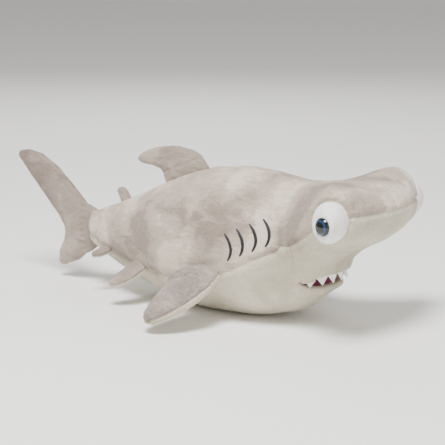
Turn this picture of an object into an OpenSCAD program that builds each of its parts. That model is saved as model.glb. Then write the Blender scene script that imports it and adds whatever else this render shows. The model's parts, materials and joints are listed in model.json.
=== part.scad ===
// Stuffed hammerhead shark. Millimetres, nose towards +X, left side towards +Y, belly on Z = 0.
// Fabric pieces are thin closed sheets that meet at their seams and hold their own stuffing.

/* [Trunk] */
// Length of the trunk, from the tail seam to the neck
trunk_len = 278; // [232:1:334]
// Width of the trunk at its fattest
trunk_w = 144; // [120:1:173]
// Height of the trunk at its fattest
trunk_h = 149; // [124:1:179]

/* [Head] */
// Distance from the neck to the hammer's front edge
head_len = 105; // [87:1:126]
// Width of the hammer, between the outer faces of the eye patches
hammer_span = 186; // [155:1:205]
// Length of a felt tooth
tooth_len = 10.5; // [6:0.5:11]
// Number of felt teeth
tooth_count = 7; // [5:2:13]

/* [Eyes] */
// Diameter of a plastic eye
eye_d = 18; // [15:0.5:20]
// Height of the eye's dome
eye_rise = 5.5; // [4.5:0.5:7]
// Diameter of the eye's stem
eye_stem_d = 5; // [4:0.5:6]
// Length of the eye's stem
eye_stem_len = 12; // [10:0.5:14]
// Diameter of the washer that locks the stem
eye_washer_d = 16; // [13:0.5:19]

/* [Fins] */
// Height of the front dorsal fin above its root
dorsal_h = 31; // [26:1:37]
// Length of the front dorsal fin's seam
dorsal_base = 60; // [50:1:70]
// Height of the small rear dorsal fin
rear_dorsal_h = 11; // [9:0.5:13]
// Length of a pectoral fin
pectoral_len = 66; // [55:1:79]
// Width of a pectoral fin at its root
pectoral_w = 54; // [45:1:64]
// Length of a pelvic fin
pelvic_len = 31; // [26:1:37]
// Length of an anal fin
anal_len = 14; // [12:0.5:17]
// Height of the tail fin, from lobe tip to lobe tip
tail_h = 125; // [104:1:150]
// How far the tail fin reaches behind its seam
tail_reach = 108; // [90:1:130]

/* [Fabric] */
// Thickness of the plush fabric with its pile
fabric = 1.6; // [1.2:0.1:2]
// Clearance between neighbouring pieces
gap = 0.4; // [0.3:0.05:0.5]
// Clearance between a fin's root and the body it swings against
fin_clear = 0.8; // [0.6:0.1:1.5]
// Width of an embroidered gill line
gill_w = 2.6; // [2:0.1:3.2]
// Thickness of the felt teeth
felt = 1; // [0.8:0.1:1.2]

/* [Hidden] */

grey = "#b8aca5";
cream = "#d9d6ca";
white = "#f4f3ee";
fibre = "#fbfbfa";

total_len = tail_reach + trunk_len + head_len;
tail_x = tail_reach - total_len / 2;
neck_x = tail_x + trunk_len;

// ---- Curves ----
function lerp(a, b, f) = a + (b - a) * f;
function clamp(v, lo, hi) = min(max(v, lo), hi);
function unit(v) = v / norm(v);
// Slope of a table's column at row i, from its neighbours
function slope(tab, col, i) =
    let (a = max(i - 1, 0), b = min(i + 1, len(tab) - 1))
    (tab[b][col] - tab[a][col]) / (tab[b][0] - tab[a][0]);
function row_at(tab, t, i = 0) =
    i >= len(tab) - 2 || t < tab[i + 1][0] ? i : row_at(tab, t, i + 1);
// Smooth curve through a table whose first column is the position
function curve(tab, col, t) =
    let (
        i = row_at(tab, t),
        h = tab[i + 1][0] - tab[i][0],
        f = clamp((t - tab[i][0]) / h, 0, 1),
        f2 = f * f,
        f3 = f2 * f
    )
    (2 * f3 - 3 * f2 + 1) * tab[i][col] + (f3 - 2 * f2 + f) * h * slope(tab, col, i)
    + (3 * f2 - 2 * f3) * tab[i + 1][col] + (f3 - f2) * h * slope(tab, col, i + 1);
// Positions that split each step of a table into n
function steps(tab, n) = [
    for (i = [0 : len(tab) - 2], k = [0 : n - 1]) lerp(tab[i][0], tab[i + 1][0], k / n),
    tab[len(tab) - 1][0]
];
function spline(a, b, c, d, f) =
    (2 * b + (c - a) * f + (2 * a - 5 * b + 4 * c - d) * f * f
    + (3 * b - a - 3 * c + d) * f * f * f) / 2;
// A smooth line through points, each step split in two, with the points before and after it
function refine(p, before, after) =
    let (q = concat([before], p, [after]))
    [
        for (i = [1 : len(p) - 1], k = [0, 1]) spline(q[i - 1], q[i], q[i + 1], q[i + 2], k / 2),
        p[len(p) - 1]
    ];
function beyond(p, q) = 2 * p - q;
function mirrored(p) = [p.x, -p.y, p.z];
// Refines a net whose rows run from the centre line outwards
function refine_rows(net) = [
    for (r = net) refine(r, mirrored(r[1]), beyond(r[len(r) - 1], r[len(r) - 2]))
];
function refine_net(net) =
    let (
        g = refine_rows(net),
        n = len(g),
        cols = [
            for (j = [0 : len(g[0]) - 1])
                let (c = [for (r = g) r[j]])
                refine(c, beyond(c[0], c[1]), beyond(c[n - 1], c[n - 2]))
        ]
    )
    [for (i = [0 : len(cols[0]) - 1]) [for (c = cols) c[i]]];

// ---- Closed solids from grids of points ----
function flat(rows) = [for (r = rows, p = r) p];
function quad(a, b, c, d) = [[a, b, c], [a, c, d]];
function skin(rows, cols, start, flip) = [
    for (i = [0 : rows - 2], j = [0 : cols - 2])
        let (a = start + i * cols + j, b = a + 1, c = a + cols + 1, d = a + cols)
        each (flip ? quad(a, b, c, d) : quad(a, d, c, b))
];
// A sheet with an outer and an inner grid of the same size, closed round its rim
module sheet(outer, inner) {
    n = len(outer);
    m = len(outer[0]);
    k = n * m;
    rim = concat(
        [for (j = [0 : m - 1]) j],
        [for (i = [1 : n - 1]) i * m + m - 1],
        [for (j = [m - 2 : -1 : 0]) (n - 1) * m + j],
        [for (i = [n - 2 : -1 : 1]) i * m]
    );
    edge = [
        for (e = [0 : len(rim) - 1])
            let (a = rim[e], b = rim[(e + 1) % len(rim)])
            each quad(a, b, k + b, k + a)
    ];
    polyhedron(
        concat(flat(outer), flat(inner)),
        concat(skin(n, m, 0, false), skin(n, m, k, true), edge)
    );
}
function side_faces(n, m, loop) = [
    for (i = [0 : n - (loop ? 1 : 2)], j = [0 : m - 1])
        let (a = i * m + j, b = i * m + (j + 1) % m, c = ((i + 1) % n) * m)
        each quad(a, c + j, c + (j + 1) % m, b)
];
// A solid lofted through closed rings, with flat ends
module loft(rings) {
    n = len(rings);
    m = len(rings[0]);
    first = [for (j = [1 : m - 2]) [0, j, j + 1]];
    last = [for (j = [1 : m - 2]) [(n - 1) * m, (n - 1) * m + j + 1, (n - 1) * m + j]];
    polyhedron(flat(rings), concat(side_faces(n, m, false), first, last));
}
// A solid lofted through closed rings, whose last ring joins its first
module loop_loft(rings) {
    polyhedron(flat(rings), side_faces(len(rings), len(rings[0]), true));
}
// Outward normal of a grid at row i, column j
function grid_normal(g, i, j) =
    let (
        n = len(g) - 1,
        m = len(g[0]) - 1,
        down = g[min(i + 1, n)][j] - g[max(i - 1, 0)][j],
        across = g[i][min(j + 1, m)] - g[i][max(j - 1, 0)]
    )
    unit(cross(down, across));
// The grid pushed in by d, along the way given for a point or else straight inwards
function pushed(g, d, way = function(i, j, p) undef) = [
    for (i = [0 : len(g) - 1]) [
        for (j = [0 : len(g[0]) - 1])
            let (w = way(i, j, g[i][j]))
            g[i][j] + d * (is_undef(w) ? -grid_normal(g, i, j) : w)
    ]
];

// ---- Trunk ----
// Share of the trunk's length, share of its half width, bottom and top as shares of its height
trunk_profile = [
    [0, 0.122, 0.319, 0.5557],
    [0.018, 0.192, 0.304, 0.5607],
    [0.043, 0.247, 0.284, 0.5677],
    [0.094, 0.322, 0.239, 0.6077],
    [0.155, 0.407, 0.184, 0.6457],
    [0.245, 0.532, 0.129, 0.7177],
    [0.335, 0.672, 0.0843, 0.8007],
    [0.424, 0.812, 0.0393, 0.8757],
    [0.514, 0.922, 0.004, 0.9407],
    [0.622, 0.997, -0.018, 0.9957],
    [0.73, 1.02, -0.02, 1.011],
    [0.838, 0.997, -0.006, 1.006],
    [0.921, 0.932, 0.0293, 0.9857],
    [1, 0.832, 0.0743, 0.9657],
];
// Height of the side seam as a share of the section, from its bottom
seam_profile = [
    [0, 0.34], [0.2, 0.28], [0.45, 0.265], [0.58, 0.285], [0.82, 0.37], [0.91, 0.455], [1, 0.52],
];

function trunk_x(t) = tail_x + trunk_len * t;
function trunk_t(x) = (x - tail_x) / trunk_len;
function trunk_half(t) = trunk_w / 2 * curve(trunk_profile, 1, t);
function trunk_low(t) = trunk_h * curve(trunk_profile, 2, t);
function trunk_high(t) = trunk_h * curve(trunk_profile, 3, t);
function trunk_mid(t) = lerp(trunk_low(t), trunk_high(t), 0.46);
// A point on the trunk's section at angle a from the top towards the left, d under the surface.
// The belly is pressed flat where the section would reach below the ground.
function trunk_point(t, a, d = 0) =
    let (
        z0 = trunk_mid(t),
        half = (cos(a) > 0 ? trunk_high(t) - z0 : z0 - trunk_low(t)) - d
    )
    [trunk_x(t), (trunk_half(t) - d) * sin(a), max(z0 + half * cos(a), d)];
function trunk_angle(t, z) =
    let (z0 = trunk_mid(t))
    acos(clamp((z - z0) / (z > z0 ? trunk_high(t) - z0 : z0 - trunk_low(t)), -1, 1));
function seam_z(t) = lerp(trunk_low(t), trunk_high(t), curve(seam_profile, 1, t));
function seam_angle(t) = trunk_angle(t, seam_z(t));
function gap_angle(t) = gap / 2 / trunk_half(t) * 180 / PI;
// Left half of a ring, between two angles
function trunk_row(t, from, to, cols, d = 0) = [
    for (j = [0 : cols - 1]) trunk_point(t, lerp(from, to, j / (cols - 1)), d)
];
function back_row(t, cols, d = 0) =
    trunk_row(t, gap_angle(t), seam_angle(t) - gap_angle(t), cols, d);
function belly_row(t, cols, d = 0) =
    trunk_row(t, 180, seam_angle(t) + gap_angle(t), cols, d);
trunk_steps = steps(trunk_profile, 2);

// ---- Head ----
// Head points are set out from the neck for a head 105 long, 166 wide and 149 high
function from_head(p) = [
    (p.x - neck_x) * 105 / head_len, p.y * 166 / hammer_span, p.z * 149 / trunk_h
];
function head(p) = [
    neck_x + p.x * head_len / 105, p.y * hammer_span / 166, p.z * trunk_h / 149
];
// Seam round the eye patch, at angle a from the front
function patch_seam(a) = [72.5 + 15.5 * cos(a), 66 - 5.7 * cos(a), 122 + 20.5 * sin(a)];
// Rows of the top from the neck to the front seam, each from the centre line to the side
top_net = [
    [[16, 0, 144], [15.5, 20.5, 140.5], [16, 39, 131], [17, 54.5, 112.5], [19.5, 58.5, 89.5]],
    [[32, 0, 145], [31.5, 24, 144.5], [33, 43.5, 140], [36, 61.5, 123.5], [39.5, 64.5, 100.5]],
    [[45, 0, 147], [44.5, 26, 148], [45, 47.5, 148], [49, 66, 135.5], patch_seam(205)],
    [[58, 0, 148], [56.5, 27, 151.5], [55.5, 49, 154.5], [56, 66, 147], patch_seam(158)],
    [[71, 0, 147.5], [69, 27, 152], [66, 49, 155.5], [65, 64, 152.5], patch_seam(118)],
    [[84.5, 0, 145], [81.5, 26, 149], [77.5, 48, 152.5], [75.5, 60.5, 149.5], patch_seam(85)],
    [[97, 0, 139.5], [94.5, 24, 142.5], [90.5, 45.5, 144.5], [87, 56.5, 142], patch_seam(45)],
    [[105, 0, 127], [103, 22, 127], [98.5, 42, 127], [93, 53.5, 126.5], patch_seam(8)],
];
// Rows of the underside from the upper lip to the front seam
under_net = [
    [[44.5, 0, 56.5], [34, 25.5, 53], [10, 35.5, 47], [14.5, 47, 67], [19.5, 58.5, 89.5]],
    [[47.5, 0, 66.5], [40, 24.5, 65], [30, 39, 65], [34.5, 52, 80], [39.5, 64.5, 100.5]],
    [[55, 0, 74.5], [51, 23.5, 75], [48, 42.5, 80], [51.5, 59, 93], patch_seam(205)],
    [[70, 0, 83.5], [67, 22.5, 84.5], [64.5, 41.5, 89], [64.5, 57.5, 95.5], patch_seam(245)],
    [[86, 0, 92], [83, 21, 92.5], [80, 39.5, 94.5], [77.5, 54.5, 97], patch_seam(280)],
    [[101, 0, 105], [99, 21, 105.5], [94.5, 40.5, 106.5], [90, 53.5, 108], patch_seam(315)],
    [[105, 0, 127], [103, 22, 127], [98.5, 42, 127], [93, 53.5, 126.5], patch_seam(352)],
];
// Rows of the chin from behind the corners of the mouth to the lower lip
chin_net = [
    [[24.5, 0, 26], [17, 25, 30.5], [5, 38, 41], [8, 50.5, 63], [10.5, 59, 84]],
    [[39.5, 0, 45], [30, 23, 43], [10, 35.5, 47], [14.5, 47, 67], [19.5, 58.5, 89.5]],
];
s = gap * 0.6;
// The side edge of a net moved in, to leave room for the seam beside it
function narrowed(net, dy, dz) = [
    for (r = net) [
        for (j = [0 : len(r) - 1])
            let (f = j / (len(r) - 1))
            r[j] - [0, dy * f, 0] + [0, 0, dz * pow(f, 4)]
    ]
];
function seamed(net, up) = narrowed(net, s, up);

// Points of a net, with its last row and its first row shifted
function shifted(net, first, last) = [
    for (i = [0 : len(net) - 1]) [
        for (p = net[i]) head(p) + (i == 0 ? first : i == len(net) - 1 ? last : [0, 0, 0])
    ]
];
// Inward direction shared by the pieces that meet along the side seam and round the patch
function side_in(p) =
    let (
        q = from_head([p.x, abs(p.y), p.z]),
        t = trunk_t(p.x),
        turn = abs(atan2(q.z - 122, q.x - 72.5) + 155),
        f = q.x < 50 ? 0 : clamp(min(turn, 360 - turn) / 35, 0, 1),
        seam = lerp([-0.1, -1, 0], [0.24, -0.93, 0.27], clamp((q.x - 40) / 18, 0, 1)),
        w = p.x < neck_x
            ? -trunk_normal(t, trunk_angle(t, p.z))
            : unit(lerp(seam, unit([72.5, q.y - 14, 121] - q), f))
    )
    p.y < 0 ? mirrored(w) : w;
// The same along the cheek, f from the corner of the mouth to the side seam
function cheek_in(f, p) =
    let (w = unit(lerp([-0.45, -0.75, 0.5], [-0.1, -1, 0], f)))
    p.y < 0 ? mirrored(w) : w;

// A grid whose row i ends at the side seam's point between the neck and the patch
function met(g, i, dz) = [
    for (k = [0 : len(g) - 1])
        k == i ? concat([for (j = [0 : 7]) g[k][j]], [head([49.5, 68, 107.3]) + [0, -s, dz]]) : g[k]
];

back_net = concat(
    [back_row(0.96, 5), back_row(1, 5)],
    shifted(top_net, [0, 0, 0], [0, 0, s])
);
back_head = met(refine_net(seamed(back_net, s)), 7, s);
function off_centre(g) = [for (r = g) [for (p = r) [p.x, max(p.y, gap / 2), p.z]]];
back_grid = concat(
    [for (t = trunk_steps) if (t < 0.95) back_row(t, 9)],
    off_centre(back_head)
);
belly_net = concat(
    [belly_row(0.96, 5)],
    [belly_row(1, 5)],
    [for (r = chin_net) [for (p = r) head(p) - [1.6 * s, 0, 0]]]
);
belly_head = refine_net(seamed(belly_net, -s));
belly_half = concat([for (t = trunk_steps) if (t < 0.95) belly_row(t, 9)], belly_head);
under_half = met(refine_net(seamed(shifted(under_net, [1.6 * s, 0, 0], [0, 0, -s]), -s)), 3, -s);
// Both sides of a half grid, from the left side to the right
function both(g) = [
    for (r = g) concat([for (j = [len(r) - 1 : -1 : 1]) r[j]], [for (p = r) mirrored(p)])
];
function grounded(g, z) = [for (r = g) [for (p = r) [p.x, p.y, max(p.z, z)]]];
back_in = function(i, j, p)
    i == len(back_grid) - 1 ? [-1, 0, 0] : j == 8 ? side_in(p) : undef;
belly_in = function(i, j, p)
    let (k = abs(j - 8))
    k == 8 ? side_in(p) : i == len(belly_half) - 1 && k > 3 ? cheek_in((k - 4) / 4, p) : undef;
under_in = function(i, j, p)
    let (k = abs(j - 8))
    i == len(under_half) - 1 ? [-1, 0, 0]
    : k == 8 ? side_in(p)
    : i == 0 && k > 3 ? cheek_in((k - 4) / 4, p) : undef;

module back_panel() {
    color(grey) sheet(off_centre(pushed(back_grid, fabric, back_in)), back_grid);
}
module back_panel_left() {
    back_panel();
}
module back_panel_right() {
    mirror([0, 1, 0]) back_panel();
}
module belly_panel() {
    g = both(belly_half);
    color(cream) sheet(grounded(pushed(g, fabric, belly_in), fabric), g);
}
module head_under_panel() {
    g = both(under_half);
    color(cream) sheet(pushed(g, fabric, under_in), g);
}

// ---- Eyes and their white patches ----
eye_turn = 15;
eye_at = head([73, 80, 120]);
eye_out = [-sin(eye_turn), cos(eye_turn), 0];
function eye_ring(r, a) =
    eye_at + r * [cos(a) * cos(eye_turn), cos(a) * sin(eye_turn), sin(a)];
// Ring of the patch, f from its seam at 0 to the edge of the eye at 1
function patch_ring(f) = [
    for (a = [0 : 15 : 345])
        let (p = head(patch_seam(a)) + [0, 2 * s, 0], q = eye_ring(eye_d / 2 + 0.8, a))
        [
            lerp(p.x, q.x, 1 - cos(90 * f)),
            lerp(p.y, q.y, sin(90 * f)),
            lerp(p.z, q.z, 1 - cos(90 * f))
        ]
];
function towards(ring, target, d) = [for (p = ring) p + d * unit(target - p)];
module eye_patch() {
    hole = [for (a = [0 : 15 : 345]) eye_ring(eye_stem_d / 2 + gap, a)];
    outer = [for (f = [0, 0.3, 0.6, 0.8, 1]) patch_ring(f)];
    core = head([72.5, 50, 121.5]);
    inner = concat(
        [[for (p = outer[0]) p + fabric * unit([core.x - p.x, 0, core.z - p.z])]],
        [for (i = [1 : 4]) towards(outer[i], core, fabric)]
    );
    back = [for (p = hole) p - fabric * eye_out];
    loop_loft(concat(inner, [back, hole], [for (i = [4 : -1 : 0]) outer[i]]));
}
module eye_patch_left() {
    color(white) eye_patch();
}
module eye_patch_right() {
    color(white) mirror([0, 1, 0]) eye_patch();
}
// Puts a shape drawn upright on the eye's seat
module on_eye(lift) {
    translate(eye_at + lift * eye_out) rotate([0, 0, eye_turn]) rotate([-90, 0, 0]) children();
}
module eye() {
    ball = (eye_d * eye_d / 4 + eye_rise * eye_rise) / (2 * eye_rise);
    on_eye(gap) {
        intersection() {
            translate([0, 0, eye_rise - ball]) sphere(ball, $fn = 72);
            cylinder(d = eye_d, h = eye_rise, $fn = 72);
        }
        translate([0, 0, -eye_stem_len]) cylinder(d = eye_stem_d, h = eye_stem_len + 0.5, $fn = 36);
    }
}
module eye_washer() {
    on_eye(-fabric - 3.5) difference() {
        cylinder(d = eye_washer_d, h = 2, $fn = 48);
        translate([0, 0, -1]) cylinder(d = eye_stem_d + 0.7, h = 4, $fn = 36);
    }
}
module eye_left() {
    color("#15202c") eye();
}
module eye_right() {
    color("#15202c") mirror([0, 1, 0]) eye();
}
module eye_washer_left() {
    color("#e9e9e4") eye_washer();
}
module eye_washer_right() {
    color("#e9e9e4") mirror([0, 1, 0]) eye_washer();
}

// ---- Mouth ----
lip_r = 34.5;
function lip(a, r, z) = head([8.6 + r * cos(a), r * sin(a), z]);
function upper_z(a) = 57 - 3.5 * pow(abs(a) / 45, 1.44);
function lower_z(a) = 46 - 0.5 * abs(a) / 60;
module mouth_lining() {
    turns = [-70 : 17.5 : 70];
    front = [
        [for (a = turns) lip(a, lip_r - 4.6, upper_z(a) - 0.3)],
        [for (a = turns) lip(a, lip_r - 11, upper_z(a))],
        [for (a = turns) lip(a, lip_r - 18, (upper_z(a) + lower_z(a)) / 2)],
        [for (a = turns) lip(a, lip_r - 13, lower_z(a) + 0.4)],
        [for (a = turns) lip(a, lip_r - 8, lower_z(a) + 0.6)],
    ];
    color("#7d2a4c") sheet(pushed(front, 1.2), front);
}
// Top edge of the strip of teeth, or its zigzag edge
function teeth_row(r, top) = [
    for (i = [0 : 2 * tooth_count])
        let (
            a = -70 + 70 / tooth_count * i,
            drop = i % 2 == 1 ? tooth_len * (1 - 0.25 * abs(a) / 70) : 0.6
        )
        lip(a, r, upper_z(a) + (top ? 2.5 : -drop))
];
module felt_teeth() {
    r = lip_r - fabric - gap - 0.6;
    color(white) sheet(
        [teeth_row(r - felt, true), teeth_row(r - felt, false)],
        [teeth_row(r, true), teeth_row(r, false)]
    );
}

// ---- Stuffing ----
module trunk_stuffing() {
    d = fabric + gap + 0.8;
    color(fibre) loft([
        for (t = trunk_steps)
            let (u = clamp(t, 0.004, 0.995), e = d + 2 * clamp((t - 0.85) / 0.1, 0, 1))
            [for (a = [345 : -15 : 0]) trunk_point(u, a, e)]
    ]);
}
// Distance from the neck, half width, bottom and top of the stuffing's oval sections
head_core = [
    [1.5, 42, 66, 137], [15, 45, 68, 137], [32, 47, 73, 138], [45, 49, 82, 139.5],
    [60, 55, 92, 140.5], [75, 55, 99, 140], [88, 46, 104, 136], [97, 32, 112, 131],
];
chin_core = [[2.5, 22, 22, 40], [12, 19, 28, 40], [22, 12, 33, 40]];
module ovals(tab) {
    loft([
        for (r = tab) [
            for (a = [0 : 15 : 345])
                head([r[0], r[1] * cos(a), (r[2] + r[3]) / 2 + (r[3] - r[2]) / 2 * sin(a)])
        ]
    ]);
}
module head_stuffing() {
    color(fibre) ovals(head_core);
}
module chin_stuffing() {
    color(fibre) ovals(chin_core);
}

// ---- Gills ----
// Four embroidered lines on each flank, each bowed forwards
// Point on line k, s down its length and w across it, d above the fabric
function gill_point(k, s, w, d) =
    let (
        x = neck_x + (-53.6 + 12.4 * k) * trunk_len / 278 + 28.8 * s - 21.8 * s * s + w * gill_w / 2,
        z = (94.6 + 5.6 * k - 26 * s) * trunk_h / 149,
        t = trunk_t(x)
    )
    trunk_point(t, trunk_angle(t, z)) + [0, gap + d, 0];
module gill_stitches() {
    for (k = [0 : 3]) {
        downs = [0 : 0.125 : 1];
        outer = [for (s = downs) [for (w = [-1, 0, 1]) gill_point(k, s, w, w == 0 ? 0.9 : 0.3)]];
        inner = [for (s = downs) [for (w = [-1, 0, 1]) gill_point(k, s, w, 0)]];
        sheet(outer, inner);
    }
}
module gill_stitches_left() {
    color("#1b1b1d") gill_stitches();
}
module gill_stitches_right() {
    color("#1b1b1d") mirror([0, 1, 0]) gill_stitches();
}

// ---- Fins ----
// A fin stands on its root: x runs along the root, z out to the tip, y through its thickness.
// Rows hold the share of the height, the front and back as shares of the root, the thickness.
dorsal_rows = [
    [0, 0.5, -0.5, 1], [0.23, 0.4, -0.517, 0.9], [0.43, 0.3, -0.667, 0.8],
    [0.64, 0.13, -0.917, 0.66], [0.82, -0.05, -0.983, 0.5], [0.93, -0.28, -0.92, 0.34],
    [1, -0.47, -0.77, 0.12],
];
rear_dorsal_rows = [
    [0, 0.5, -0.5, 1], [0.4, 0.38, -0.55, 0.9], [0.8, 0.2, -0.56, 0.65], [1, -0.05, -0.35, 0.2],
];
pectoral_rows = [
    [0, 0.5, -0.5, 1], [0.15, 0.52, -0.52, 1], [0.4, 0.44, -0.53, 0.92], [0.65, 0.3, -0.52, 0.74],
    [0.85, 0.1, -0.48, 0.5], [0.96, -0.06, -0.4, 0.28], [1, -0.16, -0.3, 0.1],
];
pelvic_rows = [
    [0, 0.5, -0.5, 1], [0.3, 0.46, -0.52, 0.95], [0.65, 0.32, -0.55, 0.75],
    [0.9, 0.08, -0.5, 0.4], [1, -0.12, -0.38, 0.12],
];
// Distance behind the seam and height at the front edge, the same at the back edge,
// half thickness, and how far back the thickest line lies
tail_rows = [
    [44, -50, 48, -43, 0.8, 0.5], [33, -47, 47.5, -33, 2.6, 0.5], [21, -42, 43, -23, 3.6, 0.45],
    [8, -31, 40.5, -17, 4.6, 0.3], [0, -16, 39.6, -12, 5.2, 0.17], [0, -5, 40, -8.5, 5.2, 0.17],
    [0, 6, 41.5, -4, 5.2, 0.17], [0, 16, 47, 5, 5.2, 0.17], [12, 28, 58, 17, 4.8, 0.3],
    [25, 41, 69, 29, 4.4, 0.45], [47, 61, 86, 47, 3.8, 0.5], [71, 75, 98, 60, 3, 0.5],
    [92, 79, 104, 67, 2, 0.5], [104, 77, 107, 71, 0.6, 0.5],
];
function rim(p) = fabric * (0.35 + 0.65 * p);
function bead(thick) = thick + 0.2 + fabric;
// Grid of one side of a fin: the root's bead first, then the blade. Kind 0 is the fabric's outer
// face, 1 its inner face, 2 the stuffing's.
function fin_grid(rows, height, root, thick, kind) =
    let (cols = kind == 2 ? [1 : 7] : [0 : 8])
    concat(
        [
            for (b = [-90, -60, -30]) if (kind < 2 || b > -80) [
                for (j = cols)
                    let (p = sin(22.5 * j), x = root * cos(22.5 * j) / 2, r = depth(thick * p, p, kind))
                    [x, gap / 2 + r * cos(b), r * sin(b)]
            ]
        ],
        [
            for (h = steps(rows, 1)) if (kind < 2 || h < 0.93) [
                for (j = cols)
                    let (
                        p = sin(22.5 * j),
                        front = root * curve(rows, 1, h),
                        back = root * curve(rows, 2, h),
                        mid = (front + back) / 2,
                        x = mid + (front - back) / 2 * cos(22.5 * j)
                    )
                    [x, gap / 2 + depth(thick * curve(rows, 3, h) * p, p, kind), height * h]
            ]
        ]
    );
function depth(t, p, kind) = kind == 0 ? t + 0.2 + rim(p) : kind == 1 ? t + 0.2 : max(t - 0.4, -0.1);
module fin_panel(rows, height, root, thick) {
    sheet(fin_grid(rows, height, root, thick, 0), fin_grid(rows, height, root, thick, 1));
}
// Stuffing between two mirrored grids
module filling(g) {
    loft([
        for (r = g) concat(r, [for (j = [len(r) - 1 : -1 : 0]) mirrored(r[j])])
    ]);
}
module fin_filling(rows, height, root, thick) {
    filling(fin_grid(rows, height, root, thick, 2));
}
function trunk_normal(t, a) =
    let (
        across = trunk_point(t, a + 1) - trunk_point(t, a - 1),
        along = trunk_point(t + 0.01, a) - trunk_point(t - 0.01, a)
    )
    unit(cross(along, across));
// Stands a fin on the trunk at angle a, leaning its tip by lean degrees about its root
module on_trunk(t, a, root, thick, lean) {
    reach = root / 2 / trunk_len;
    ex = unit(trunk_point(t + reach, a(t + reach)) - trunk_point(t - reach, a(t - reach)));
    n0 = trunk_normal(t, a(t));
    ez = unit(n0 - (n0 * ex) * ex);
    ey = cross(ez, ex);
    o = trunk_point(t, a(t)) + (bead(thick) + fin_clear + gap / 2) * ez;
    multmatrix([
        [ex.x, ey.x, ez.x, o.x], [ex.y, ey.y, ez.y, o.y], [ex.z, ey.z, ez.z, o.z], [0, 0, 0, 1]
    ])
        rotate([lean, 0, 0]) children();
}

// Front and rear dorsal fins

dorsal_t = (130 / 278);
module on_dorsal() {
    on_trunk(dorsal_t, function(t) 0, dorsal_base, 4.6, 0) children();
}
module dorsal_fin_left_panel() {
    color(grey) on_dorsal() fin_panel(dorsal_rows, dorsal_h, dorsal_base, 4.6);
}
module dorsal_fin_right_panel() {
    color(grey) on_dorsal() mirror([0, 1, 0]) fin_panel(dorsal_rows, dorsal_h, dorsal_base, 4.6);
}
module dorsal_fin_stuffing() {
    color(fibre) on_dorsal() fin_filling(dorsal_rows, dorsal_h, dorsal_base, 4.6);
}

rear_dorsal_t = (48 / 278);
module on_rear_dorsal() {
    on_trunk(rear_dorsal_t, function(t) 0, 14, 2.2, 0) children();
}
module rear_dorsal_fin_left_panel() {
    color(grey) on_rear_dorsal() fin_panel(rear_dorsal_rows, rear_dorsal_h, 14, 2.2);
}
module rear_dorsal_fin_right_panel() {
    color(grey) on_rear_dorsal() mirror([0, 1, 0]) fin_panel(rear_dorsal_rows, rear_dorsal_h, 14, 2.2);
}
module rear_dorsal_fin_stuffing() {
    color(fibre) on_rear_dorsal() fin_filling(rear_dorsal_rows, rear_dorsal_h, 14, 2.2);
}

// Fins in the side seams

pectoral_t = (195 / 278);
module on_pectoral() {
    on_trunk(pectoral_t, function(t) seam_angle(t), pectoral_w, 7.5, -6) children();
}
module pectoral_upper() {
    on_pectoral() mirror([0, 1, 0]) fin_panel(pectoral_rows, pectoral_len, pectoral_w, 7.5);
}
module pectoral_lower() {
    on_pectoral() fin_panel(pectoral_rows, pectoral_len, pectoral_w, 7.5);
}
module pectoral_filling() {
    on_pectoral() fin_filling(pectoral_rows, pectoral_len, pectoral_w, 7.5);
}
module pectoral_left_upper_panel() {
    color(grey) pectoral_upper();
}
module pectoral_left_lower_panel() {
    color(cream) pectoral_lower();
}
module pectoral_left_stuffing() {
    color(fibre) pectoral_filling();
}
module pectoral_right_upper_panel() {
    color(grey) mirror([0, 1, 0]) pectoral_upper();
}
module pectoral_right_lower_panel() {
    color(cream) mirror([0, 1, 0]) pectoral_lower();
}
module pectoral_right_stuffing() {
    color(fibre) mirror([0, 1, 0]) pectoral_filling();
}

pelvic_t = (102 / 278);
module on_pelvic() {
    on_trunk(pelvic_t, function(t) seam_angle(t), 25, 3.4, -6) children();
}
module pelvic_upper() {
    on_pelvic() mirror([0, 1, 0]) fin_panel(pelvic_rows, pelvic_len, 25, 3.4);
}
module pelvic_lower() {
    on_pelvic() fin_panel(pelvic_rows, pelvic_len, 25, 3.4);
}
module pelvic_filling() {
    on_pelvic() fin_filling(pelvic_rows, pelvic_len, 25, 3.4);
}
module pelvic_left_upper_panel() {
    color(grey) pelvic_upper();
}
module pelvic_left_lower_panel() {
    color(cream) pelvic_lower();
}
module pelvic_left_stuffing() {
    color(fibre) pelvic_filling();
}
module pelvic_right_upper_panel() {
    color(grey) mirror([0, 1, 0]) pelvic_upper();
}
module pelvic_right_lower_panel() {
    color(cream) mirror([0, 1, 0]) pelvic_lower();
}
module pelvic_right_stuffing() {
    color(fibre) mirror([0, 1, 0]) pelvic_filling();
}

anal_t = (42 / 278);
module on_anal() {
    on_trunk(anal_t, function(t) seam_angle(t), 12, 1.8, 0) children();
}
module anal_upper() {
    on_anal() mirror([0, 1, 0]) fin_panel(pelvic_rows, anal_len, 12, 1.8);
}
module anal_lower() {
    on_anal() fin_panel(pelvic_rows, anal_len, 12, 1.8);
}
module anal_filling() {
    on_anal() fin_filling(pelvic_rows, anal_len, 12, 1.8);
}
module anal_left_upper_panel() {
    color(grey) anal_upper();
}
module anal_left_lower_panel() {
    color(cream) anal_lower();
}
module anal_left_stuffing() {
    color(fibre) anal_filling();
}
module anal_right_upper_panel() {
    color(grey) mirror([0, 1, 0]) anal_upper();
}
module anal_right_lower_panel() {
    color(cream) mirror([0, 1, 0]) anal_lower();
}
module anal_right_stuffing() {
    color(fibre) mirror([0, 1, 0]) anal_filling();
}

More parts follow.
